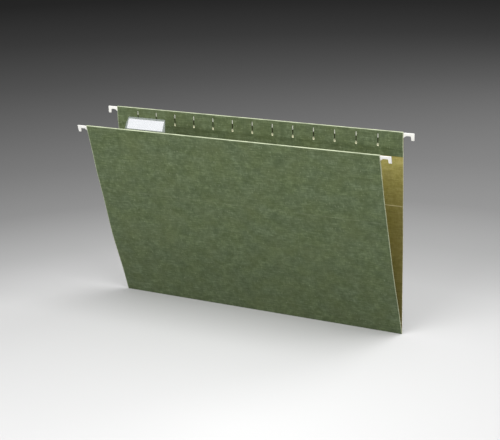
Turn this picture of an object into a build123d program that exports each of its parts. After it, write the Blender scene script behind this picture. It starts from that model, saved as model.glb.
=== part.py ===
from build123d import *
import os
from math import cos, radians, sin

# A legal-size hanging file folder, in millimetres.
# It is one scored sheet of paperboard folded at the bottom, with a steel hanger rod in a glued hem
# along the top of each half, and a clear plastic tab that holds a card in the slots of the front hem.
# It is drawn first in a fold frame: the bottom fold lies on X, Z is up, and the back half stands
# upright with its pocket face on the plane Y = 0 and its outer face towards +Y.
# The front half is the same half turned round and leaned open about the fold.
# The finished frame has its origin between the back hooks, where they sit on a drawer's rails.

# Sheet
SHEET_WIDTH = 374.65
PANEL_HEIGHT = 238.1
PAPER = 0.3
BEND_DROP = 85.7
SCORE_PITCH = 6.35
SPREAD_SCORES = 2
SWING_SCORES = 3
SCORE_WIDTH = 0.7
SCORE_DEPTH = 0.1
CREASE_GAP = 0.1

# How far the folder stands open, in degrees
LEAN = 17.5
FRONT_STRAIGHTEN = 2.7

# Hanger rod and its hooks
ROD_THICKNESS = 0.7
ROD_CLEARANCE = 0.1
ROD_DROP = 0.2
HOOK_BAR = 3.3
NOTCH_DEPTH = 4.7
NOTCH_WIDTH = 5.8
NOTCH_ROUND = 0.9
SHOULDER_RUN = 3.2
SHOULDER_ROOT = 2.7
PRONG_WIDTH = 3.8
PRONG_SLANT = 0.5
PRONG_ROUND = 0.35
COAT = 0.15
COAT_CLEARANCE = 0.3

# Hem flap and its slots
SLOT_DROP = 4.1
SLOT_BELOW_ROD = 8.8
SLOT_WIDTH = 1.3
SLOT_PITCH = 26.25
SLOT_END_MARGIN = 20.0
FLAP_FOOT = 10.8
GLUE_BAND = 4.5
GLUE_INSET = 0.6
GLUE = 0.1

# Plastic tab and its card
TAB_PLASTIC = 0.3
TAB_CLEARANCE = 0.1
TAB_FIRST_SLOT = 1
TAB_SLOTS_SPANNED = 2
TAB_OVERHANG = 1.7
TAB_SHIFT = 1.5
TAB_SIDE_TAPER = 3.4
TAB_CORNER = 1.2
TAB_RISE = 0.3
TAB_TILT = 43.0
TAB_BEND_ROUND = 0.6
EAR_LENGTH = 5.0
EAR_CLEARANCE = 0.4
CARD_HEIGHT = 11.8
CARD_THICKNESS = 0.2
CARD_CLEARANCE = 0.1
CARD_SIDE_MARGIN = 0.5
CARD_FOOT_MARGIN = 0.6
CARD_HEAD_MARGIN = 2.2
LEAF_ROUND_SHARE = 0.45

# All cuts run past the material by this much
OVERRUN = 5.0

# Heights and depths that follow from the sizes above
SPREAD_HEIGHT = SPREAD_SCORES * SCORE_PITCH
SWING_HEIGHT = SWING_SCORES * SCORE_PITCH
BEND_HEIGHT = PANEL_HEIGHT - BEND_DROP
HEM_GAP = ROD_THICKNESS + 2 * ROD_CLEARANCE
FOLD_CENTRE = PANEL_HEIGHT - PAPER - HEM_GAP / 2
ROD_HEIGHT = HOOK_BAR + NOTCH_DEPTH
ROD_TOP = FOLD_CENTRE - ROD_DROP
ROD_BOTTOM = ROD_TOP - ROD_HEIGHT
ROD_DEPTH = -HEM_GAP / 2
SLOT_TOP = PANEL_HEIGHT - SLOT_DROP
SLOT_BOTTOM = ROD_BOTTOM - SLOT_BELOW_ROD
FLAP_BOTTOM = SLOT_BOTTOM - FLAP_FOOT
FLAP_FACE = -HEM_GAP - PAPER
HOOK_REACH = SHOULDER_RUN + NOTCH_WIDTH + PRONG_WIDTH
SEAT_HEIGHT = ROD_TOP - HOOK_BAR - COAT
SLOT_COUNT = int((SHEET_WIDTH - 2 * SLOT_END_MARGIN) / SLOT_PITCH) + 1
TAB_SPAN = TAB_SLOTS_SPANNED * SLOT_PITCH
TAB_BASE_WIDTH = TAB_SPAN + 2 * TAB_OVERHANG
TAB_TOP_WIDTH = TAB_BASE_WIDTH - 2 * TAB_SIDE_TAPER
CARD_WIDTH = TAB_TOP_WIDTH - 2 * CARD_SIDE_MARGIN
WINDOW_HEIGHT = CARD_FOOT_MARGIN + CARD_HEIGHT + CARD_HEAD_MARGIN
LEAF_SPACING = TAB_PLASTIC + CARD_THICKNESS + 2 * CARD_CLEARANCE
TONGUE_DEPTH = FLAP_FACE - TAB_CLEARANCE - TAB_PLASTIC / 2
TAB_BEND_HEIGHT = PANEL_HEIGHT + TAB_RISE


def across_sheet(profile):
    """Draws a cross-section (depth, height) out over the sheet's whole width."""
    return extrude(Plane.YZ * profile, amount=SHEET_WIDTH / 2, both=True)


def ribbon(points, radii, thickness):
    """The face of a bent strip that follows a path of points with rounded corners."""
    path = FilletPolyline(*points, radius=radii)
    return trace(path, line_width=thickness)


def panel(low, high, scores=()):
    """A flat panel between two heights, with pressed score lines across its outer face."""
    outer = [(PAPER, low)]
    for score in scores:
        outer += [
            (PAPER, score - SCORE_WIDTH / 2),
            (PAPER - SCORE_DEPTH, score),
            (PAPER, score + SCORE_WIDTH / 2),
        ]
    outer.append((PAPER, high))
    outline = Polyline(*outer, (0, high), (0, low), close=True)
    return across_sheet(make_face(outline))


def slot_places():
    """Where the tab slots stand along the hem, from left to right."""
    first = -(SLOT_COUNT - 1) * SLOT_PITCH / 2
    return [first + i * SLOT_PITCH for i in range(SLOT_COUNT)]


def top_fold():
    """The paper rolled over the rod at the top of a half."""
    outer = CenterArc((ROD_DEPTH, FOLD_CENTRE), HEM_GAP / 2 + PAPER, 0, 180)
    inner = CenterArc((ROD_DEPTH, FOLD_CENTRE), HEM_GAP / 2, 0, 180)
    ends = [Line(outer @ i, inner @ i) for i in (0, 1)]
    return across_sheet(make_face([outer, inner, *ends]))


def flap():
    """The slotted flap that turns down inside the panel, with its foot set in to the glue."""
    band_top = FLAP_BOTTOM + GLUE_BAND
    outline = Polyline(
        (FLAP_FACE, FOLD_CENTRE),
        (FLAP_FACE, SLOT_BOTTOM),
        (-GLUE - PAPER, band_top),
        (-GLUE - PAPER, FLAP_BOTTOM),
        (-GLUE, FLAP_BOTTOM),
        (-GLUE, band_top),
        (-HEM_GAP, SLOT_BOTTOM),
        (-HEM_GAP, FOLD_CENTRE),
        close=True,
    )
    slot = Plane.XZ * Rot(0, 0, 90) * SlotOverall(SLOT_TOP - SLOT_BOTTOM, SLOT_WIDTH)
    cutter = extrude(slot, amount=OVERRUN, both=True)
    middle = (SLOT_TOP + SLOT_BOTTOM) / 2
    return across_sheet(make_face(outline)) - [Pos(x, FLAP_FACE, middle) * cutter for x in slot_places()]


def glue():
    """The line of adhesive that closes the hem along the flap's foot."""
    low = FLAP_BOTTOM + GLUE_INSET
    high = FLAP_BOTTOM + GLUE_BAND - GLUE_INSET
    return across_sheet(make_face(Polyline((0, low), (0, high), (-GLUE, high), (-GLUE, low), close=True)))


def rod_outline():
    """The stamped hanger strip, with a notched hook at each end, from its top edge down."""
    edge = SHEET_WIDTH / 2
    tip = edge + HOOK_REACH
    prong = tip - PRONG_WIDTH
    half = [
        (tip, 0, PRONG_ROUND),
        (tip, -ROD_HEIGHT, PRONG_ROUND),
        (prong + PRONG_SLANT, -ROD_HEIGHT, PRONG_ROUND),
        (prong, -HOOK_BAR, NOTCH_ROUND),
        (edge + SHOULDER_RUN, -HOOK_BAR, NOTCH_ROUND),
        (edge - SHOULDER_ROOT, -ROD_HEIGHT, 0),
    ]
    corners = half + [(-x, z, r) for x, z, r in reversed(half)]
    points = [(x, z) for x, z, r in corners]
    return make_face(FilletPolyline(*points, radius=[r for x, z, r in corners], close=True))


def stand_in_hem(outline, thickness):
    """Gives a rod outline its thickness and stands it in the hem."""
    return Pos(0, ROD_DEPTH, ROD_TOP) * extrude(Plane.XZ * outline, amount=thickness / 2, both=True)


def rod():
    """The steel hanger strip."""
    return stand_in_hem(rod_outline(), ROD_THICKNESS)


def hook_coat(side):
    """The white dipped coat on one hook, side 1 for the right end and -1 for the left."""
    dipped = stand_in_hem(offset(rod_outline(), amount=COAT), ROD_THICKNESS + 2 * COAT)
    start = SHEET_WIDTH / 2 + COAT_CLEARANCE
    length = HOOK_REACH + OVERRUN
    bath = Box(length, OVERRUN, 2 * ROD_HEIGHT + OVERRUN)
    dip = Pos(side * (start + length / 2), ROD_DEPTH, ROD_TOP) * bath
    return (dipped & dip) - rod()


def window_plane():
    """The plane of the tab's rear leaf: X along the folder, Y up the slope, Z towards the reader."""
    tilt = radians(TAB_TILT)
    return Plane(
        origin=(0, TONGUE_DEPTH, TAB_BEND_HEIGHT),
        x_dir=(-1, 0, 0),
        z_dir=(0, cos(tilt), sin(tilt)),
    )


def tab_section():
    """The tab's bent strip: up the flap, back at the bend, over the top and down in front of the card."""
    tilt = radians(TAB_TILT)

    def on_slope(along, out):
        depth = TONGUE_DEPTH - along * sin(tilt) + out * cos(tilt)
        height = TAB_BEND_HEIGHT + along * cos(tilt) + out * sin(tilt)
        return depth, height

    path = [
        (TONGUE_DEPTH, SLOT_BOTTOM + EAR_CLEARANCE),
        on_slope(0, 0),
        on_slope(WINDOW_HEIGHT, 0),
        on_slope(WINDOW_HEIGHT, LEAF_SPACING),
        on_slope(CARD_FOOT_MARGIN / 2, LEAF_SPACING),
    ]
    top_round = LEAF_SPACING * LEAF_ROUND_SHARE
    return ribbon(path, [TAB_BEND_ROUND, top_round, top_round], TAB_PLASTIC)


def tab_outline():
    """What is left of the folded strip: tapered leaves, and a tongue as wide as the slots stand apart."""
    top = WINDOW_HEIGHT + TAB_PLASTIC
    corners = [
        (-TAB_BASE_WIDTH / 2, 0),
        (TAB_BASE_WIDTH / 2, 0),
        (TAB_TOP_WIDTH / 2, top),
        (-TAB_TOP_WIDTH / 2, top),
    ]
    leaves = make_face(FilletPolyline(*corners, radius=[0, 0, TAB_CORNER, TAB_CORNER], close=True))
    window = extrude(window_plane() * Pos(-TAB_SHIFT, 0, 0) * leaves, amount=OVERRUN, both=True)
    tongue_top = TAB_BEND_HEIGHT + TAB_PLASTIC
    tongue_bottom = SLOT_BOTTOM - OVERRUN
    tongue = Box(TAB_SPAN, OVERRUN, tongue_top - tongue_bottom)
    return window + Pos(0, TONGUE_DEPTH, (tongue_top + tongue_bottom) / 2) * tongue


def tab_ear(side):
    """A Z-bend at one side of the tongue, which passes a slot and lies behind the flap."""
    slot = side * TAB_SPAN / 2
    path = [
        (slot - side * EAR_LENGTH, TONGUE_DEPTH),
        (slot, TONGUE_DEPTH),
        (slot, ROD_DEPTH),
        (slot + side * EAR_LENGTH, ROD_DEPTH),
    ]
    height = SLOT_BELOW_ROD - 2 * EAR_CLEARANCE
    return Pos(0, 0, SLOT_BOTTOM + EAR_CLEARANCE) * extrude(ribbon(path, 0, TAB_PLASTIC), amount=height)


def tab():
    """The clear tab: a tongue on the flap, an ear in each of two slots, and leaves folded over the card."""
    strip = extrude(Plane.YZ * tab_section(), amount=TAB_BASE_WIDTH / 2, both=True)
    return (strip & tab_outline()) + tab_ear(-1) + tab_ear(1)


def card():
    """The white card between the tab's leaves."""
    blank = Box(CARD_WIDTH, CARD_HEIGHT, CARD_THICKNESS)
    return window_plane() * Pos(-TAB_SHIFT, CARD_FOOT_MARGIN + CARD_HEIGHT / 2, LEAF_SPACING / 2) * blank


# Where the pieces of each half go
HANG = Pos(0, -ROD_DEPTH, -SEAT_HEIGHT)
FRONT = HANG * Rot(LEAN, 0, 0) * Rot(0, 0, 180)
STRAIGHTEN = Pos(0, PAPER, BEND_HEIGHT) * Rot(FRONT_STRAIGHTEN, 0, 0) * Pos(0, -PAPER, -BEND_HEIGHT)
FRONT_TOP = FRONT * STRAIGHTEN
TAB_CENTRE = slot_places()[TAB_FIRST_SLOT] + TAB_SPAN / 2
ON_TAB = FRONT_TOP * Pos(-TAB_CENTRE, 0, 0)

# Panels stop short of the crease lines, and further where a crease bends both ways
SWING_GAP = CREASE_GAP + PAPER / 2
BOTTOM_STRIP = (CREASE_GAP, SPREAD_HEIGHT - CREASE_GAP)
SWING_STRIP = (SPREAD_HEIGHT + CREASE_GAP, SWING_HEIGHT - SWING_GAP)
TOP_PANEL = (BEND_HEIGHT + CREASE_GAP, FOLD_CENTRE)
BOTTOM_LINES = [i * SCORE_PITCH for i in range(1, SPREAD_SCORES)]

pieces = {
    "back_panel": HANG * panel(SPREAD_HEIGHT + CREASE_GAP, BEND_HEIGHT - CREASE_GAP, [SWING_HEIGHT]),
    "back_bottom_strip": HANG * panel(*BOTTOM_STRIP, BOTTOM_LINES),
    "front_bottom_strip": FRONT * panel(*BOTTOM_STRIP, BOTTOM_LINES),
    "front_swing_strip": FRONT * panel(*SWING_STRIP),
    "front_panel": FRONT * panel(SWING_HEIGHT + SWING_GAP, BEND_HEIGHT - CREASE_GAP),
    "tab": ON_TAB * tab(),
    "tab_card": ON_TAB * card(),
}
for half, place, right in (("back", HANG, 1), ("front", FRONT_TOP, -1)):
    pieces[half + "_top_panel"] = place * panel(*TOP_PANEL)
    pieces[half + "_top_fold"] = place * top_fold()
    pieces[half + "_flap"] = place * flap()
    pieces[half + "_flap_glue"] = place * glue()
    pieces[half + "_rod"] = place * rod()
    pieces[half + "_right_hook_coat"] = place * hook_coat(right)
    pieces[half + "_left_hook_coat"] = place * hook_coat(-right)

os.makedirs("parts", exist_ok=True)
for name, piece in pieces.items():
    export_step(piece, f"parts/{name}.step")
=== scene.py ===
from math import cos, pi, radians, sin

import bmesh
import bpy
import numpy as np
from mathutils import Matrix, Vector


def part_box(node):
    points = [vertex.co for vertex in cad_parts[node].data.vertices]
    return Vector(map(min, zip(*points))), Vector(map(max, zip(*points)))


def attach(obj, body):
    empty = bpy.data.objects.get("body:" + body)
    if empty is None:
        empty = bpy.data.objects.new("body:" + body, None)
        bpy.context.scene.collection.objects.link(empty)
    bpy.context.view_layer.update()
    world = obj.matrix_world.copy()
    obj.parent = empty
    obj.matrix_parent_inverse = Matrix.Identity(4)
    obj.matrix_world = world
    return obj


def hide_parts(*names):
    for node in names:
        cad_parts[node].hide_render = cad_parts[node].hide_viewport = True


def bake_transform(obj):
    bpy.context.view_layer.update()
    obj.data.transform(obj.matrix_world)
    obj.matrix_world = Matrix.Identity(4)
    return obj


# Dresses a hanging file folder: one sheet of green paperboard with its hems, scores and folds,
# the white hooks and steel rods in the hems, and the clear tab with its card.
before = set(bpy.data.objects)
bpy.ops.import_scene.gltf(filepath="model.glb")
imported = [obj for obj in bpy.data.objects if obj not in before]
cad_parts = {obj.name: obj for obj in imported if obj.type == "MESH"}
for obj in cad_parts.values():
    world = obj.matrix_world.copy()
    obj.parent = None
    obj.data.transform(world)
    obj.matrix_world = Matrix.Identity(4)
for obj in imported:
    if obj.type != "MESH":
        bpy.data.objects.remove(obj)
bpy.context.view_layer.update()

# Sizes of the folder are in millimetres, as the solids have them, and this turns them into metres
MM = 0.001

# Sheet
SHEET_WIDTH = 374.65
PANEL_HEIGHT = 238.1
PAPER = 0.3
CROSS_SCORE = 152.4
SCORE_PITCH = 6.35
SPREAD_SCORE = 2 * SCORE_PITCH
SWING_SCORE = 3 * SCORE_PITCH
LEAN = radians(17.5)
STRAIGHTEN = radians(2.7)

# A pressed score: its depth, half its width, and the rows that the sheet has round it
SCORE_PRESS = 0.08
SCORE_HALF = 0.4
SCORE_STEPS = (-1.0, -0.6, -0.4, -0.2, 0.0, 0.2, 0.4, 0.6, 1.0)

# Hem, and where the frame's origin is: midway between the hem's walls, at the height that the solids give
HEM_GAP = 0.9
GLUE = 0.1
HANG_DEPTH = HEM_GAP / 2
HANG_HEIGHT = PANEL_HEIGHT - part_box("back_top_fold")[1].z / MM
FOLD_CENTRE = PANEL_HEIGHT - PAPER - HEM_GAP / 2
FOLD_RADIUS = HEM_GAP / 2 + PAPER / 2
FLAP_DEPTH = -HEM_GAP - PAPER / 2
GLUED_DEPTH = -GLUE - PAPER / 2
FLAP_FOOT = 209.55
GLUE_TOP = 214.05

# Steps round a fold, at the top and at the bottom
FOLD_STEPS = 10

# Distance along the flat sheet from the bottom fold to the crest of the hem
CREST = FOLD_CENTRE + FOLD_RADIUS * pi / 2

# Slots in the hem's flap, each with a pressed lip at its foot
SLOT_BOTTOM = 220.35
SLOT_TOP = 234.0
SLOT_TALL = SLOT_TOP - SLOT_BOTTOM
SLOT_WIDTH = 1.3
SLOT_NOSE = 0.4
SLOT_LIP = 0.7
SLOT_RIM = SLOT_WIDTH / 2 + SLOT_LIP
SLOT_PITCH = 26.25
SLOT_COUNT = 13
LIP_TOP = 3.0
LIP_PRESS = 0.1

# Shape of a slot and its lip: height above the slot's foot, half the slot, half the lip, rise of the edge
LIP_STEPS = (
    (-SLOT_LIP, 0.5, 0.8, 0.0),
    (0.0, 0.24, 1.1, SLOT_NOSE),
    (0.9, 0.24, 1.05, 0.0),
    (1.8, 0.3, 0.85, 0.0),
    (LIP_TOP, 0.46, 0.58, 0.0),
    (5.2, 0.56, SLOT_RIM, 0.0),
    (7.7, 0.62, SLOT_RIM, 0.0),
)
LIP_HEIGHTS = [SLOT_BOTTOM + step[0] for step in LIP_STEPS[2:]]

# Hook at a rod's end, measured outwards from the sheet's edge and down from the rod's top edge
ROD_DROP = 0.2
ROD_TOP = FOLD_CENTRE - ROD_DROP
COAT = 0.15
COAT_START = 0.3
COAT_FOOT = 5.8
HOOK_REACH = 12.8
HOOK_TALL = 8.0
HOOK_BAR = 3.3
HOOK_THICKNESS = 1.0
NOTCH_START = 3.25
NOTCH_END = 9.0
PRONG_SLANT = 0.5
HOOK_CORNERS = (
    (COAT_START, COAT),
    (HOOK_REACH + COAT, COAT),
    (HOOK_REACH + COAT, -HOOK_TALL - COAT),
    (NOTCH_END + PRONG_SLANT - COAT, -HOOK_TALL - COAT),
    (NOTCH_END - COAT, -HOOK_BAR - COAT),
    (NOTCH_START, -HOOK_BAR - COAT),
    (COAT_START, -COAT_FOOT),
)
PRONG_CORNERS, NOTCH_CORNERS = (1, 2, 3), (4, 5)
PRONG_ROUND = 0.5
NOTCH_ROUND = 0.75
DIP_ROUND = 0.32

# Bow of the panels: its mean, then the height and length of a long and a short wave across the width
BOW = 1.7
LONG_BOW, LONG_WAVE = 0.6, 430
SHORT_BOW, SHORT_WAVE = 0.3, 170
FRONT_PHASE, BACK_PHASE = 1.9, 0.4

# Heights that the bow lies between, the front's flat band round its cross score, and shares of the bow
BOW_FOOT, BOW_HEAD = 24, 206
FLAT_BAND = (148, 156)
FRONT_TOP_SHARE = 0.3
BACK_LOW_SHARE, BACK_TOP_SHARE = 4.0, 2.4

# Where the sheet is divided for its moving panels, and how far to each side of a crease its ends lie
MID_PANEL = 85.0
MID_STRIP = (SPREAD_SCORE + SWING_SCORE) / 2
CREASE_REACH = 0.6

# Heights of the sheet's other rows, and the distance of its end columns from the edges
FLAP_HEIGHTS = (
    FLAP_FOOT, 211.5, 213.3, GLUE_TOP, 215.2, 216.4, 217.6, 218.8, SLOT_BOTTOM - SLOT_LIP,
    SLOT_BOTTOM, *LIP_HEIGHTS, 229.4, 231.5, 233.3, SLOT_TOP, 235.0, 236.3,
)
TOP_HEIGHTS = (236.0, 231.0, 222.0, 211.0, 203.0, 195.0, 187.0, 179.0, 171.0, 163.0, 157.0)
MIDDLE_HEIGHTS = (149.0, 144.0, 136.0, 128.0, 120.0, 112.0, 104.0, 96.0, 90.0, MID_PANEL)
LOWER_HEIGHTS = (MID_PANEL, 79.0, 71.0, 63.0, 55.0, 47.0, 39.0, 32.0, 26.0, 22.0)
ABOVE_FIRST_SCORE = (6.55, 6.85, 7.6, 9.5, 11.0)
ABOVE_SPREAD_SCORE = (14.6, MID_STRIP)
BELOW_SWING_SCORE = (MID_STRIP, 17.0)
FOLD_HEIGHTS = (SCORE_PITCH, 6.15, 5.9, 5.2, 3.5, 1.5, 0.6, 0.25, 0.0)
END_COLUMN = 2

# Points this near to a place stand at it
NEAR = 0.05

# Points closer than this are one point, as along the sharp inner line of the bottom fold
SAME_POINT = 0.002

# Finishes on the sheet, counted from the outer one
INNER, CUT_EDGE = 1, 2


# Cross-section of the sheet


def on_back(depth, height):
    """A point of the back half's cross-section, in the part's frame, in metres."""
    return (depth + HANG_DEPTH) * MM, (height - HANG_HEIGHT) * MM


def on_front(depth, height):
    """A point of the front half's cross-section; above the cross score the half stands straighter."""
    if height > CROSS_SCORE:
        out, up = depth - PAPER, height - CROSS_SCORE
        depth = PAPER + out * cos(STRAIGHTEN) - up * sin(STRAIGHTEN)
        height = CROSS_SCORE + out * sin(STRAIGHTEN) + up * cos(STRAIGHTEN)
    return on_back(-depth * cos(LEAN) - height * sin(LEAN), -depth * sin(LEAN) + height * cos(LEAN))


def ease(share):
    """A smooth step from 0 to 1."""
    share = min(max(share, 0.0), 1.0)
    return share * share * (3 - 2 * share)


def pressed_depth(gap):
    """Depth of the paper's middle at a distance from a pressed score."""
    return PAPER / 2 - SCORE_PRESS * max(0.0, 1 - abs(gap) / SCORE_HALF)


def crease_rows(height):
    """Rows of the sheet close round a crease, from below it to above it."""
    return [(pressed_depth(step), height + step, height + step) for step in SCORE_STEPS]


def flat_rows(heights):
    """Plain rows of a panel: depth, height and distance along the flat sheet."""
    return [(PAPER / 2, height, height) for height in heights]


def hem_rows():
    """The flap from its foot up to the fold, over the rod and down to the outer panel."""
    rows = []
    flat_end = FOLD_CENTRE + FOLD_RADIUS * pi
    for height in FLAP_HEIGHTS:
        share = ease((height - GLUE_TOP) / (SLOT_BOTTOM - GLUE_TOP))
        depth = GLUED_DEPTH + (FLAP_DEPTH - GLUED_DEPTH) * share
        rows.append((depth, height, flat_end + FOLD_CENTRE - height))
    for i in range(FOLD_STEPS + 1):
        turn = pi * i / FOLD_STEPS
        depth = -HEM_GAP / 2 - FOLD_RADIUS * cos(turn)
        height = FOLD_CENTRE + FOLD_RADIUS * sin(turn)
        rows.append((depth, height, flat_end - FOLD_RADIUS * turn))
    return rows


def across_fold():
    """The bottom fold, from the back's first score round to the front's: places, and distances when flat."""
    rising = FOLD_HEIGHTS[::-1]
    places = [on_back(pressed_depth(SCORE_PITCH - height), height) for height in FOLD_HEIGHTS]
    for i in range(1, FOLD_STEPS):
        turn = (pi - LEAN) * i / FOLD_STEPS
        places.append(on_back(PAPER / 2 * cos(turn), -PAPER / 2 * sin(turn)))
    places += [on_front(pressed_depth(SCORE_PITCH - height), height) for height in rising]
    flats = [*FOLD_HEIGHTS, *[0.0] * (FOLD_STEPS - 1), *[-height for height in rising]]
    return places, flats


def slot_places():
    """The middles of the tab slots along the hem."""
    first = -(SLOT_COUNT - 1) * SLOT_PITCH / 2
    return [first + i * SLOT_PITCH for i in range(SLOT_COUNT)]


def sheet_columns():
    """Where the sheet is divided across its width: near its ends, at each slot and between slots."""
    edge = SHEET_WIDTH / 2
    columns = [-edge, -edge + END_COLUMN, edge - END_COLUMN, edge]
    beside_slot = (SLOT_WIDTH / 2, SLOT_RIM, SLOT_WIDTH / 2 - SLOT_NOSE, SLOT_PITCH / 4)
    for middle in slot_places():
        columns += [middle + side * gap for gap in beside_slot for side in (-1, 1)]
        columns.append(middle + SLOT_PITCH / 2)
    return sorted(x for x in columns if abs(x) <= edge)


# Bow of the panels


def bow(x, phase):
    """How strongly a panel bows outwards at a place along its width, in millimetres."""
    long_wave = LONG_BOW * cos(2 * pi * x / LONG_WAVE + phase)
    short_wave = SHORT_BOW * sin(2 * pi * x / SHORT_WAVE + 2 * phase)
    return BOW + long_wave + short_wave


def swell(height, low, high):
    """A soft swell, 1 midway between two heights and 0 outside them."""
    return sin(pi * (height - low) / (high - low)) ** 2 if low < height < high else 0.0


def front_bulge(x, height):
    """How far the front bows outwards: most in the middle of a panel's height, none at its creases."""
    low = swell(height, BOW_FOOT, FLAT_BAND[0])
    high = swell(height, FLAT_BAND[1], BOW_HEAD)
    return bow(x, FRONT_PHASE) * (low + FRONT_TOP_SHARE * high)


def back_bulge(x, height):
    """How far the back bows outwards; it is creased sharply at the cross score."""
    low = min(max((height - BOW_FOOT) / (CROSS_SCORE - BOW_FOOT), 0.0), 1.0)
    high = min(max((height - CROSS_SCORE) / (BOW_HEAD - CROSS_SCORE), 0.0), 1.0)
    below = BACK_LOW_SHARE * low ** 2 * (1 - low)
    above = BACK_TOP_SHARE * high * (1 - high) ** 2
    return bow(x, BACK_PHASE) * (below + above)


def no_bulge(x, height):
    """A narrow strip stays flat."""
    return 0.0


# Modelling steps


def in_edit(obj, chosen="DESELECT"):
    """Makes obj the only selected object and opens it in edit mode, with none or all of its mesh selected."""
    bpy.ops.object.select_all(action="DESELECT")
    obj.select_set(True)
    bpy.context.view_layer.objects.active = obj
    bpy.ops.object.mode_set(mode="EDIT")
    bpy.ops.mesh.select_all(action=chosen)


def pull(step):
    """Extrudes what is selected by one step."""
    bpy.ops.mesh.extrude_region_move(TRANSFORM_OT_translate={"value": step})


def drawn_line(name, points):
    """Draws a line from point to point, and leaves it open in edit mode with all of it selected."""
    bpy.ops.object.select_all(action="DESELECT")
    bpy.ops.mesh.primitive_plane_add(size=MM, location=points[0])
    line = bpy.context.object
    line.name = name
    bpy.ops.object.transform_apply(location=True, rotation=True, scale=True)
    in_edit(line)
    bpy.ops.mesh.select_mode(type="VERT")
    bpy.ops.mesh.select_all(action="SELECT")
    bpy.ops.mesh.merge(type="CENTER")
    for here, there in zip(points, points[1:]):
        pull([end - start for start, end in zip(here, there)])
    bpy.ops.mesh.select_all(action="SELECT")
    return line


def face_outwards(obj):
    """Turns all faces of a mesh outwards."""
    in_edit(obj, "SELECT")
    bpy.ops.mesh.normals_make_consistent(inside=False)
    bpy.ops.object.mode_set(mode="OBJECT")


def modify(obj, kind, **settings):
    """Adds a modifier with these settings and applies it."""
    made = obj.modifiers.new(kind.lower(), kind)
    for name, value in settings.items():
        setattr(made, name, value)
    bpy.ops.object.modifier_apply(modifier=made.name)


# Sheet


def drawn_sheet(name, places, finishes):
    """Draws a cross-section, pulls it across the sheet's width and gives it its finishes."""
    columns = sheet_columns()
    sheet = drawn_line(name, [(columns[0] * MM, *place) for place in places])
    for here, there in zip(columns, columns[1:]):
        pull(((there - here) * MM, 0, 0))
    bpy.ops.object.mode_set(mode="OBJECT")
    for finish in finishes:
        sheet.data.materials.append(finish)
    return sheet


def slot_frame(place):
    """A slot's foot on the flap, and the ways up the flap and in towards the panel."""
    foot = Vector((0, *place(FLAP_DEPTH, SLOT_BOTTOM)))
    upward = (Vector((0, *place(FLAP_DEPTH, SLOT_TOP))) - foot).normalized()
    inward = (Vector((0, *place(0, SLOT_BOTTOM))) - foot).normalized()
    return foot, upward, inward


def in_slot(point, place):
    """A point's place by the nearest slot, in millimetres: off its middle, above its foot, off the flap."""
    foot, upward, inward = slot_frame(place)
    middle = min(slot_places(), key=lambda x: abs(point.x / MM - x))
    gap = (point - Vector((point.x, foot.y, foot.z))) / MM
    return point.x / MM - middle, gap.dot(upward), abs(gap.dot(inward))


def open_slots(sheet, place):
    """Takes the slots out of a hem's flap, and gives the lips at their feet the pale finish."""
    in_edit(sheet)
    bpy.ops.mesh.select_mode(type="FACE")
    shape = bmesh.from_edit_mesh(sheet.data)
    for face in shape.faces:
        side, up, off = in_slot(face.calc_center_median(), place)
        on_flap = off < NEAR
        face.select_set(on_flap and abs(side) < SLOT_WIDTH / 2 and 0 < up < SLOT_TALL)
        if on_flap and abs(side) < SLOT_RIM and -SLOT_LIP < up < LIP_TOP:
            face.material_index = CUT_EDGE
    bmesh.update_edit_mesh(sheet.data)
    bpy.ops.mesh.delete(type="FACE")
    bpy.ops.object.mode_set(mode="OBJECT")


def press_lips(sheet, place):
    """Shapes the slots' sides, presses the lips round their feet and rounds their upper ends."""
    upward, inward = slot_frame(place)[1:]
    in_edit(sheet)
    shape = bmesh.from_edit_mesh(sheet.data)
    for vert in shape.verts:
        side, up, off = in_slot(vert.co, place)
        at_side = abs(abs(side) - SLOT_WIDTH / 2) < NEAR
        at_rim = abs(abs(side) - SLOT_RIM) < NEAR
        if off > NEAR or not (at_side or at_rim):
            continue
        for step, slot_half, rim_half, raised in LIP_STEPS:
            if abs(up - step) < NEAR:
                wanted = slot_half if at_side else rim_half
                vert.co.x += (wanted - abs(side)) * MM * (1 if side > 0 else -1)
                if at_side:
                    vert.co += upward * raised * MM + inward * LIP_PRESS * MM
        if at_side and abs(up - SLOT_TALL) < NEAR:
            vert.co -= upward * SLOT_NOSE * MM
    bmesh.update_edit_mesh(sheet.data)
    bpy.ops.object.mode_set(mode="OBJECT")


def shade_slot_sides(sheet, place):
    """Gives the slots' sides above their lips the finish of the board's inside, not of a raw edge, so that
    the painted shade of the hem darkens them.
    """
    for face in sheet.data.polygons:
        if face.material_index == CUT_EDGE:
            side, up, off = in_slot(face.center, place)
            if off < 2 * PAPER and abs(side) < SLOT_WIDTH and LIP_TOP < up < SLOT_TALL:
                face.material_index = INNER


def map_flat(sheet, places, flats):
    """Gives the sheet a UV map in metres of the flat sheet, and returns the row that each point stands in."""
    points = np.array([vert.co for vert in sheet.data.vertices])
    depths, heights = np.array(places).T
    gaps = np.abs(points[:, 1, None] - depths) + np.abs(points[:, 2, None] - heights)
    nearest = np.argmin(gaps, axis=1)
    along = np.array(flats)[nearest] * MM
    layer = sheet.data.uv_layers.new(name="flat_sheet")
    for loop in sheet.data.loops:
        layer.data[loop.index].uv = (points[loop.vertex_index, 0], along[loop.vertex_index])
    return nearest


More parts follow.
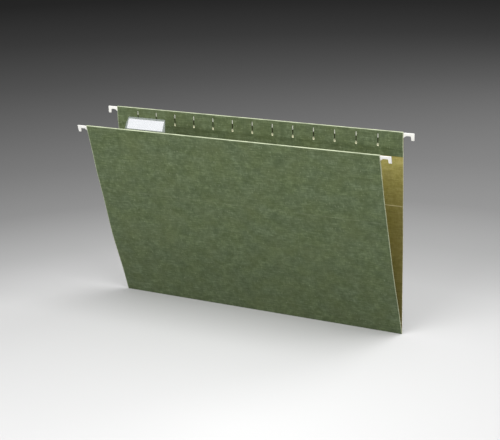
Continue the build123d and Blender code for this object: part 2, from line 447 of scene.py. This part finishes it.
def give_thickness(sheet, faces_back):
    """Turns the outer face outwards, then thickens the paper with its inner and cut-edge finishes."""
    face_outwards(sheet)
    panel = max(sheet.data.polygons, key=lambda face: face.area)
    if (panel.normal.y > 0) != faces_back:
        in_edit(sheet, "SELECT")
        bpy.ops.mesh.flip_normals()
        bpy.ops.object.mode_set(mode="OBJECT")
    finishes = {"material_offset": INNER, "material_offset_rim": CUT_EDGE}
    modify(sheet, "SOLIDIFY", thickness=PAPER * MM, offset=0, **finishes)
    in_edit(sheet, "SELECT")
    bpy.ops.mesh.remove_doubles(threshold=SAME_POINT * MM)
    bpy.ops.object.mode_set(mode="OBJECT")
    bpy.ops.object.shade_smooth_by_angle(angle=radians(35))


def paper_sheet(name, rows, place, side, finishes, bulge, slotted=False):
    """One length of the folder's sheet, on the back (side 1) or the front (side -1)."""
    places = [place(depth, height) for depth, height, flat in rows]
    sheet = drawn_sheet(name, places, finishes)
    if slotted:
        open_slots(sheet, place)
        press_lips(sheet, place)
    nearest = map_flat(sheet, places, [side * flat for depth, height, flat in rows])
    for vert, row in zip(sheet.data.vertices, nearest):
        depth, height, flat = rows[row]
        if flat < FOLD_CENTRE:
            out = bulge(vert.co.x / MM, height)
            vert.co = (vert.co.x, *place(depth + out, height))
    give_thickness(sheet, side > 0)
    if slotted:
        shade_slot_sides(sheet, place)
    return sheet


def crease(piece, place, height):
    """Works out the ends of one crease, which are not used, and bakes the sheet's placement into its mesh."""
    start = (0, *place(PAPER / 2, height - CREASE_REACH))
    end = (0, *place(PAPER / 2, height + CREASE_REACH))
    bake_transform(piece)


# Hooks


def soft_corners(outline, corners, radius):
    """Rounds the outline's corners that stand at the given places."""
    in_edit(outline)
    bpy.ops.mesh.select_mode(type="VERT")
    shape = bmesh.from_edit_mesh(outline.data)
    for vert in shape.verts:
        vert.select_set(any((vert.co - Vector(corner)).length < NEAR * MM for corner in corners))
    shape.select_flush_mode()
    bmesh.update_edit_mesh(outline.data)
    bpy.ops.mesh.bevel(offset=radius * MM, segments=5, affect="VERTICES")
    bpy.ops.object.mode_set(mode="OBJECT")


def dipped_hook(name, place, end):
    """The dip-coated hook at one end of a rod, drawn as a flat outline and thickened to soft edges."""
    corners = []
    for out, drop in HOOK_CORNERS:
        corners.append((end * (SHEET_WIDTH / 2 + out) * MM, *place(-HEM_GAP / 2, ROD_TOP + drop)))
    hook = drawn_line(name, corners)
    bpy.ops.mesh.edge_face_add()
    bpy.ops.object.mode_set(mode="OBJECT")
    soft_corners(hook, [corners[i] for i in PRONG_CORNERS], PRONG_ROUND)
    soft_corners(hook, [corners[i] for i in NOTCH_CORNERS], NOTCH_ROUND)
    modify(hook, "SOLIDIFY", thickness=HOOK_THICKNESS * MM, offset=0)
    sharp_only = {"limit_method": "ANGLE", "angle_limit": radians(50)}
    modify(hook, "BEVEL", width=DIP_ROUND * MM, segments=4, **sharp_only)
    face_outwards(hook)
    bpy.ops.object.shade_smooth_by_angle(angle=radians(40))
    return hook


# Nodes that finishes are made of


def new_finish(name):
    """An empty procedural finish: the material, its tree and its shader."""
    material = bpy.data.materials.new(name)
    material.use_nodes = True
    shader = material.node_tree.nodes["Principled BSDF"]
    return material, material.node_tree, shader


def feed(tree, socket, value):
    """Sets an input to a plain value, or links it to the output that is given."""
    if isinstance(value, bpy.types.NodeSocket):
        tree.links.new(value, socket)
    else:
        socket.default_value = value


def put(tree, kind, inputs=None, **settings):
    """Adds a node; inputs are plain values or the outputs that feed them."""
    made = tree.nodes.new(kind)
    for name, value in settings.items():
        setattr(made, name, value)
    for name, value in (inputs or {}).items():
        feed(tree, made.inputs[name], value)
    return made


def on_piece(tree):
    """Places on the piece, in metres."""
    return put(tree, "ShaderNodeTexCoord").outputs["Object"]


def mottle(tree, where, scale, detail=3.0, roughness=0.55, squeeze=None):
    """Cloudy noise from 0 to 1, finer or longer each way by a factor where squeeze is given."""
    if squeeze:
        where = put(tree, "ShaderNodeMapping", {"Vector": where, "Scale": squeeze}).outputs["Vector"]
    inputs = {"Vector": where, "Scale": scale, "Detail": detail, "Roughness": roughness}
    return put(tree, "ShaderNodeTexNoise", inputs).outputs["Fac"]


def span(tree, value, low, high, to_low=0.0, to_high=1.0):
    """Stretches a value from one range to another and holds it there."""
    inputs = {"Value": value, "From Min": low, "From Max": high, "To Min": to_low, "To Max": to_high}
    return put(tree, "ShaderNodeMapRange", inputs).outputs["Result"]


def reckon(tree, operation, first, second=0.0):
    """One step of arithmetic with one or two values."""
    return put(tree, "ShaderNodeMath", {0: first, 1: second}, operation=operation).outputs["Value"]


def weigh(tree, *shares):
    """Adds up values, each times its share."""
    parts = [reckon(tree, "MULTIPLY", value, share) for value, share in shares]
    total = parts[0]
    for part in parts[1:]:
        total = reckon(tree, "ADD", total, part)
    return total


def largest(tree, *values):
    """The largest of some values."""
    most = values[0]
    for value in values[1:]:
        most = reckon(tree, "MAXIMUM", most, value)
    return most


def blend_tint(tree, share, low, high, way="MIX"):
    """A colour between two colours, or one darkened by the other."""
    made = put(tree, "ShaderNodeMix", data_type="RGBA", blend_type=way)
    for socket, value in ((made.inputs[0], share), (made.inputs[6], low), (made.inputs[7], high)):
        feed(tree, socket, value)
    return made.outputs[2]


def darken(tree, share, colour, keep):
    """A colour that falls to keep times its brightness where share is 1."""
    return blend_tint(tree, share, colour, (keep, keep, keep, 1.0), "MULTIPLY")


def tint(red, green, blue):
    """An sRGB colour, 0 to 255, as the linear colour that a shader takes."""
    linear = []
    for value in (red, green, blue):
        share = value / 255
        linear.append(share / 12.92 if share <= 0.04045 else ((share + 0.055) / 1.055) ** 2.4)
    return (*linear, 1.0)


def relief(tree, shader, height, distance, strength):
    """Fine relief on a surface."""
    inputs = {"Height": height, "Distance": distance, "Strength": strength}
    tree.links.new(put(tree, "ShaderNodeBump", inputs).outputs["Normal"], shader.inputs["Normal"])


def near_line(tree, along, place, reach):
    """1 on a line at a place, and 0 from reach away."""
    gap = reckon(tree, "SUBTRACT", along, place * MM)
    return span(tree, reckon(tree, "ABSOLUTE", gap), reach * MM, 0.0)


# Finishes of the folder

# Where the board's dye leans to yellow, it keeps these shares of red, green and blue
YELLOWED = (1.0, 1.0, 0.89, 1.0)

# How far the pale bands reach to each side of the hem's crest, the sheet's side edges and the scores
CREST_HIGHLIGHT_AND_WEAR = 1.1
BORDER_WEAR = 0.9
CROSS_SCORE_WEAR = 0.9
BOTTOM_SCORE_WEAR = 0.4

# Distances along the flat sheet between which painted shade darkens it, down into the pocket and up into the
# hem
POCKET_SHADE = (20, 210)
HEM_SHADE = (211, 212.5)


def wear_and_highlight(tree, along, sideways, score_wear):
    """How pale the board turns: worn and with a painted highlight at the hem's crest, paler at its side
    edges, and worn along its scores.
    """
    # Wear and a painted highlight along the hem's crest
    crest = span(tree, near_line(tree, along, CREST, CREST_HIGHLIGHT_AND_WEAR), 0.0, 0.5, 0.0, 0.92)
    border = span(tree, near_line(tree, sideways, SHEET_WIDTH / 2, BORDER_WEAR), 0.0, 0.7, 0.0, 0.6)
    scores = [near_line(tree, along, CROSS_SCORE, CROSS_SCORE_WEAR)]
    for line in (SCORE_PITCH, SPREAD_SCORE, SWING_SCORE):
        scores.append(near_line(tree, along, line, BOTTOM_SCORE_WEAR))
    return largest(tree, crest, border, reckon(tree, "MULTIPLY", largest(tree, *scores), score_wear))


def paperboard(name, deep, body, light, warm, fleck, wear_and_highlight_tint, score_wear, painted_pocket_shade, painted_hem_shade):
    """Fibre board: blotches and fibres both ways, yellowed and warm clouds, pale flecks, painted shade low in
    the pocket and in the hem, and wear with a painted highlight at the hem's crest.
    """
    material, tree, shader = new_finish(name)
    where = put(tree, "ShaderNodeUVMap", uv_map="flat_sheet").outputs["UV"]
    across = mottle(tree, where, scale=150.0, squeeze=(0.45, 5.0, 1.0))
    upward = mottle(tree, where, scale=150.0, squeeze=(5.0, 1.0, 1.0))
    fibre = weigh(tree, (across, 0.68), (upward, 0.32))
    blotches = mottle(tree, where, scale=190.0, detail=4.0, roughness=0.62)
    patches = mottle(tree, where, scale=70.0, detail=2.0)
    tone = weigh(tree, (blotches, 0.32), (fibre, 0.48), (patches, 0.2))
    ground = blend_tint(tree, span(tree, tone, 0.37, 0.51), deep, body)
    lit = blend_tint(tree, span(tree, tone, 0.5, 0.64), ground, light)

    tinge = mottle(tree, where, scale=34.0, detail=2.0, squeeze=(1.0, 1.6, 1.0))
    tinged = blend_tint(tree, span(tree, tinge, 0.4, 0.62), lit, YELLOWED, "MULTIPLY")
    clouds = mottle(tree, where, scale=26.0, detail=2.0)
    clouded = blend_tint(tree, span(tree, clouds, 0.42, 0.75, 0.0, 0.4), tinged, warm)
    hairs = mottle(tree, where, scale=260.0, detail=1.0, squeeze=(1.0, 3.0, 1.0))
    specks = mottle(tree, where, scale=230.0, detail=1.0, squeeze=(2.2, 1.0, 1.0))
    hair_share = span(tree, hairs, 0.64, 0.78, 0.0, 0.45)
    speck_share = span(tree, specks, 0.66, 0.8, 0.0, 0.6)
    flecked = blend_tint(tree, largest(tree, hair_share, speck_share), clouded, fleck)

    flat = put(tree, "ShaderNodeSeparateXYZ", {"Vector": where})
    along = reckon(tree, "ABSOLUTE", flat.outputs["Y"])
    sideways = reckon(tree, "ABSOLUTE", flat.outputs["X"])
    # Painted shade: the board darkens down into the pocket
    pocket_shade_share = span(tree, along, POCKET_SHADE[0] * MM, POCKET_SHADE[1] * MM, 1.0, 0.0)
    # Painted shade inside the hem, seen through the slots
    hem_shade_share = span(tree, along, HEM_SHADE[0] * MM, HEM_SHADE[1] * MM)
    shaded = darken(tree, hem_shade_share, darken(tree, pocket_shade_share, flecked, painted_pocket_shade), painted_hem_shade)
    patchy = span(tree, across, 0.35, 0.6, 0.6, 1.0)
    wear_and_highlight_share = reckon(tree, "MULTIPLY", wear_and_highlight(tree, along, sideways, score_wear), patchy)
    colour = blend_tint(tree, wear_and_highlight_share, shaded, wear_and_highlight_tint)

    tree.links.new(colour, shader.inputs["Base Color"])
    tree.links.new(span(tree, tone, 0.3, 0.7, 0.66, 0.54), shader.inputs["Roughness"])
    shader.inputs["Specular IOR Level"].default_value = 0.35
    fine = mottle(tree, where, scale=1100.0)
    relief(tree, shader, reckon(tree, "ADD", fine, fibre), distance=0.00012, strength=0.35)
    return material


def cut_edge():
    """The pale raw edge of the board."""
    material, tree, shader = new_finish("cut_board_edge")
    fibre = mottle(tree, on_piece(tree), scale=900.0, detail=4.0)
    colour = blend_tint(tree, span(tree, fibre, 0.35, 0.65), tint(222, 222, 184), tint(240, 240, 208))
    tree.links.new(colour, shader.inputs["Base Color"])
    shader.inputs["Roughness"].default_value = 0.8
    relief(tree, shader, fibre, distance=0.0001, strength=0.5)
    return material


def dipped_white():
    """White dipped plastic, slightly uneven where it ran."""
    material, tree, shader = new_finish("white_dip")
    runs = mottle(tree, on_piece(tree), scale=420.0, detail=2.0, squeeze=(1.0, 1.0, 0.5))
    colour = blend_tint(tree, span(tree, runs, 0.3, 0.7), tint(243, 242, 237), tint(251, 250, 246))
    tree.links.new(colour, shader.inputs["Base Color"])
    tree.links.new(span(tree, runs, 0.3, 0.7, 0.42, 0.3), shader.inputs["Roughness"])
    relief(tree, shader, runs, distance=0.0002, strength=0.3)
    return material


def rolled_steel():
    """Bright rolled strip with fine lines along it."""
    material, tree, shader = new_finish("rolled_steel_strip")
    where = on_piece(tree)
    lines = mottle(tree, where, scale=2400.0, squeeze=(0.04, 1.0, 1.0))
    stains = mottle(tree, where, scale=60.0)
    colour = blend_tint(tree, span(tree, stains, 0.35, 0.7), tint(238, 240, 228), tint(221, 223, 208))
    tree.links.new(colour, shader.inputs["Base Color"])
    tree.links.new(span(tree, lines, 0.3, 0.7, 0.42, 0.58), shader.inputs["Roughness"])
    shader.inputs["Metallic"].default_value = 0.4
    relief(tree, shader, lines, distance=0.00005, strength=0.4)
    return material


def clear_plastic():
    """Clear vinyl with faint rolling marks."""
    material, tree, shader = new_finish("clear_tab_plastic")
    marks = mottle(tree, on_piece(tree), scale=160.0, detail=2.0, squeeze=(1.0, 4.0, 4.0))
    tree.links.new(span(tree, marks, 0.35, 0.7, 0.08, 0.18), shader.inputs["Roughness"])
    shader.inputs["Base Color"].default_value = tint(176, 182, 184)
    shader.inputs["Alpha"].default_value = 0.16
    shader.inputs["IOR"].default_value = 1.49
    relief(tree, shader, marks, distance=0.0001, strength=0.15)
    return material


def white_card():
    """Smooth white card with a faint fibre."""
    material, tree, shader = new_finish("white_insert_card")
    fibre = mottle(tree, on_piece(tree), scale=700.0, detail=4.0, squeeze=(1.0, 2.0, 2.0))
    colour = blend_tint(tree, span(tree, fibre, 0.3, 0.7), tint(238, 238, 241), tint(243, 243, 245))
    tree.links.new(colour, shader.inputs["Base Color"])
    shader.inputs["Roughness"].default_value = 0.6
    relief(tree, shader, fibre, distance=0.00005, strength=0.3)
    return material


def glue_line():
    """Dried hem adhesive."""
    material, tree, shader = new_finish("dried_adhesive")
    beads = mottle(tree, on_piece(tree), scale=350.0)
    colour = blend_tint(tree, span(tree, beads, 0.3, 0.7), tint(176, 168, 128), tint(206, 198, 160))
    tree.links.new(colour, shader.inputs["Base Color"])
    shader.inputs["Roughness"].default_value = 0.45
    relief(tree, shader, beads, distance=0.0001, strength=0.4)
    return material


# Stage, in metres: a floor with a painted pool of light, brightest in front of the folder and fading into the
# distance

FLOOR_SPAN = 30.0
FLOOR_GAP = 0.0001
FLOOR = on_back(0, -PAPER)[1] - FLOOR_GAP
POOL_CENTRE = (0.12, -0.29)

# Distance from the centre of the painted pool of light, and the floor's grey there, 0 to 255
PAINTED_LIGHT_POOL = ((0.0, 218), (0.3, 206), (0.45, 196), (0.6, 167), (0.8, 139), (1.05, 124), (1.35, 113))
PAINTED_LIGHT_POOL_FAR = ((1.8, 96), (2.4, 76), (3.2, 55), (5.0, 42))

# Greys that the folder is lit by, from the floor and from all round, and the grey of the backdrop
FLOOR_LIGHT = tint(150, 150, 150)
ROOM_LIGHT = (0.42, 0.42, 0.42, 1)
BACKDROP = tint(30, 30, 30)


def looked_at(tree):
    """1 for rays that show the stage, straight, in gloss or through plastic, and 0 for the light it gives."""
    rays = put(tree, "ShaderNodeLightPath").outputs
    return largest(tree, rays["Is Camera Ray"], rays["Is Glossy Ray"], rays["Is Transmission Ray"])


def floor_finish():
    """A matt grey with a painted pool of light that fades with distance from its centre, and gives even
    light.
    """
    material, tree, shader = new_finish("pale_studio_floor")
    inputs = {"Vector": on_piece(tree), "Location": (-POOL_CENTRE[0], -POOL_CENTRE[1], 0)}
    from_pool_centre = put(tree, "ShaderNodeMapping", inputs).outputs["Vector"]
    away = put(tree, "ShaderNodeVectorMath", {0: from_pool_centre}, operation="LENGTH").outputs["Value"]
    stops = PAINTED_LIGHT_POOL + PAINTED_LIGHT_POOL_FAR
    reach = stops[-1][0]
    fade = put(tree, "ShaderNodeValToRGB", {"Fac": span(tree, away, 0.0, reach)})
    marks = fade.color_ramp.elements
    for i, (distance, grey) in enumerate(stops):
        if i < 2:
            mark = marks[i]
            mark.position = distance / reach
        else:
            mark = marks.new(distance / reach)
        mark.color = tint(grey, grey, grey)
    colour = blend_tint(tree, looked_at(tree), FLOOR_LIGHT, fade.outputs["Color"])
    tree.links.new(colour, shader.inputs["Base Color"])
    shader.inputs["Roughness"].default_value = 0.9
    shader.inputs["Specular IOR Level"].default_value = 0.0
    return material


def softbox(name, place, aim, size, power):
    """A square studio softbox that points at a place."""
    bpy.ops.object.select_all(action="DESELECT")
    bpy.ops.object.light_add(type="AREA", location=place)
    lamp = bpy.context.object
    lamp.name = name
    lamp.data.shape = "SQUARE"
    lamp.data.size = size
    lamp.data.energy = power
    lamp.rotation_euler = (Vector(aim) - Vector(place)).to_track_quat("-Z", "Y").to_euler()


# The folder's sheet, from the back hem down, round the fold and up to the front hem

# Both boards are darkened by painted shade low in the pocket, and the inside also in its hem
green = paperboard(
    "green_board",
    deep=tint(68, 82, 51),
    body=tint(89, 103, 71),
    light=tint(117, 132, 100),
    warm=tint(96, 106, 67),
    fleck=tint(144, 156, 126),
    wear_and_highlight_tint=tint(214, 222, 190),
    score_wear=0.07,
    painted_pocket_shade=0.82,
    painted_hem_shade=1.0,
)
olive = paperboard(
    "olive_board_inside",
    deep=tint(147, 139, 74),
    body=tint(174, 165, 97),
    light=tint(196, 187, 121),
    warm=tint(178, 163, 89),
    fleck=tint(210, 200, 136),
    wear_and_highlight_tint=tint(236, 227, 180),
    score_wear=0.9,
    painted_pocket_shade=0.55,
    painted_hem_shade=0.1,
)
board = [green, olive, cut_edge()]

upper_rows = hem_rows() + flat_rows(TOP_HEIGHTS)
upper_rows += crease_rows(CROSS_SCORE)[::-1] + flat_rows(MIDDLE_HEIGHTS)
first_score_row = (pressed_depth(0), SCORE_PITCH, SCORE_PITCH)

back_upper = paper_sheet("back_upper_sheet", upper_rows, on_back, 1, board, back_bulge, True)
crease(back_upper, on_back, CROSS_SCORE)
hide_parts("back_top_panel", "back_top_fold", "back_flap")

back_lower_rows = flat_rows(LOWER_HEIGHTS)
back_lower_rows += crease_rows(SWING_SCORE)[::-1] + flat_rows([MID_STRIP])
back_lower_rows += crease_rows(SPREAD_SCORE)[::-1] + flat_rows(ABOVE_FIRST_SCORE[::-1]) + [first_score_row]
back_lower = paper_sheet("back_lower_sheet", back_lower_rows, on_back, 1, board, back_bulge)
crease(back_lower, on_back, SPREAD_SCORE)
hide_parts("back_panel")

fold_places, fold_flats = across_fold()
fold_sheet = drawn_sheet("bottom_fold_sheet", fold_places, board)
map_flat(fold_sheet, fold_places, fold_flats)
give_thickness(fold_sheet, True)
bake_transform(fold_sheet)
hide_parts("back_bottom_strip", "front_bottom_strip")

spread_rows = [first_score_row] + flat_rows(ABOVE_FIRST_SCORE)
spread_rows += crease_rows(SPREAD_SCORE) + flat_rows(ABOVE_SPREAD_SCORE)
front_spread = paper_sheet("front_spread_sheet", spread_rows, on_front, -1, board, no_bulge)
crease(front_spread, on_front, SPREAD_SCORE)
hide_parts("front_swing_strip")

front_lower_rows = flat_rows(BELOW_SWING_SCORE) + crease_rows(SWING_SCORE)
front_lower_rows += flat_rows(LOWER_HEIGHTS[::-1])
front_lower = paper_sheet("front_lower_sheet", front_lower_rows, on_front, -1, board, front_bulge)
crease(front_lower, on_front, SWING_SCORE)
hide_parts("front_panel")

front_upper = paper_sheet("front_upper_sheet", upper_rows, on_front, -1, board, front_bulge, True)
crease(front_upper, on_front, CROSS_SCORE)
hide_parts("front_top_panel", "front_top_fold", "front_flap")

# Hooks at the rods' ends

dip_coat = dipped_white()
for half, place in (("back", on_back), ("front", on_front)):
    for side, end in (("left", -1), ("right", 1)):
        hook = dipped_hook(f"{half}_{side}_dipped_hook", place, end)
        hook.data.materials.append(dip_coat)
        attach(hook, f"{half}_top")
        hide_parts(f"{half}_{side}_hook_coat")

# Finishes of the solids that stay

steel = rolled_steel()
adhesive = glue_line()
solid_finishes = {
    "back_rod": steel,
    "front_rod": steel,
    "back_flap_glue": adhesive,
    "front_flap_glue": adhesive,
    "tab": clear_plastic(),
    "tab_card": white_card(),
}
for name, finish in solid_finishes.items():
    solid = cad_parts[name]
    solid.data.materials.clear()
    solid.data.materials.append(finish)

# Floor and light

bpy.ops.object.select_all(action="DESELECT")
bpy.ops.mesh.primitive_grid_add(x_subdivisions=4, y_subdivisions=4, size=FLOOR_SPAN, location=(0, 0, FLOOR))
floor = bpy.context.object
floor.name = "studio_floor"
floor.data.materials.append(floor_finish())

world = bpy.data.worlds.new("studio")
world.use_nodes = True
bpy.context.scene.world = world
air = world.node_tree
sky = blend_tint(air, looked_at(air), ROOM_LIGHT, BACKDROP)
air.links.new(sky, air.nodes["Background"].inputs["Color"])
softbox("overhead_softbox", place=(0.6, -0.2, 1.3), aim=(0, -0.03, -0.1), size=0.8, power=15.5)
softbox("front_softbox", place=(-0.4, -1.5, 0.75), aim=(0, 0, -0.12), size=1.2, power=23.5)
softbox("rear_softbox", place=(0.7, 1.4, 0.6), aim=(0, 0, -0.1), size=1.0, power=10)

# Camera, standing where the photograph was taken

CAMERA_PLACE = (0.6913, -1.27895, 0.3355)
CAMERA_YAW = radians(-28.63)
CAMERA_DOWN = radians(17.37)
CAMERA_ROLL = radians(-1.7)
CAMERA_LENS = 92.28
CAMERA_SENSOR = 36
CAMERA_NEAR, CAMERA_FAR = 0.05, 60

ahead = Vector((sin(CAMERA_YAW) * cos(CAMERA_DOWN), cos(CAMERA_YAW) * cos(CAMERA_DOWN), -sin(CAMERA_DOWN)))
level = Vector((cos(CAMERA_YAW), -sin(CAMERA_YAW), 0))
upright = level.cross(ahead)
right = cos(CAMERA_ROLL) * level + sin(CAMERA_ROLL) * upright
up = -sin(CAMERA_ROLL) * level + cos(CAMERA_ROLL) * upright
bpy.ops.object.camera_add(location=CAMERA_PLACE)
camera = bpy.context.object
camera.data.sensor_width = CAMERA_SENSOR
camera.data.lens = CAMERA_LENS
camera.data.clip_start = CAMERA_NEAR
camera.data.clip_end = CAMERA_FAR
turned = Matrix((right, up, -ahead)).transposed().to_4x4()
camera.matrix_world = Matrix.Translation(CAMERA_PLACE) @ turned
bpy.context.scene.camera = camera
bpy.context.scene.view_settings.view_transform = "Standard"
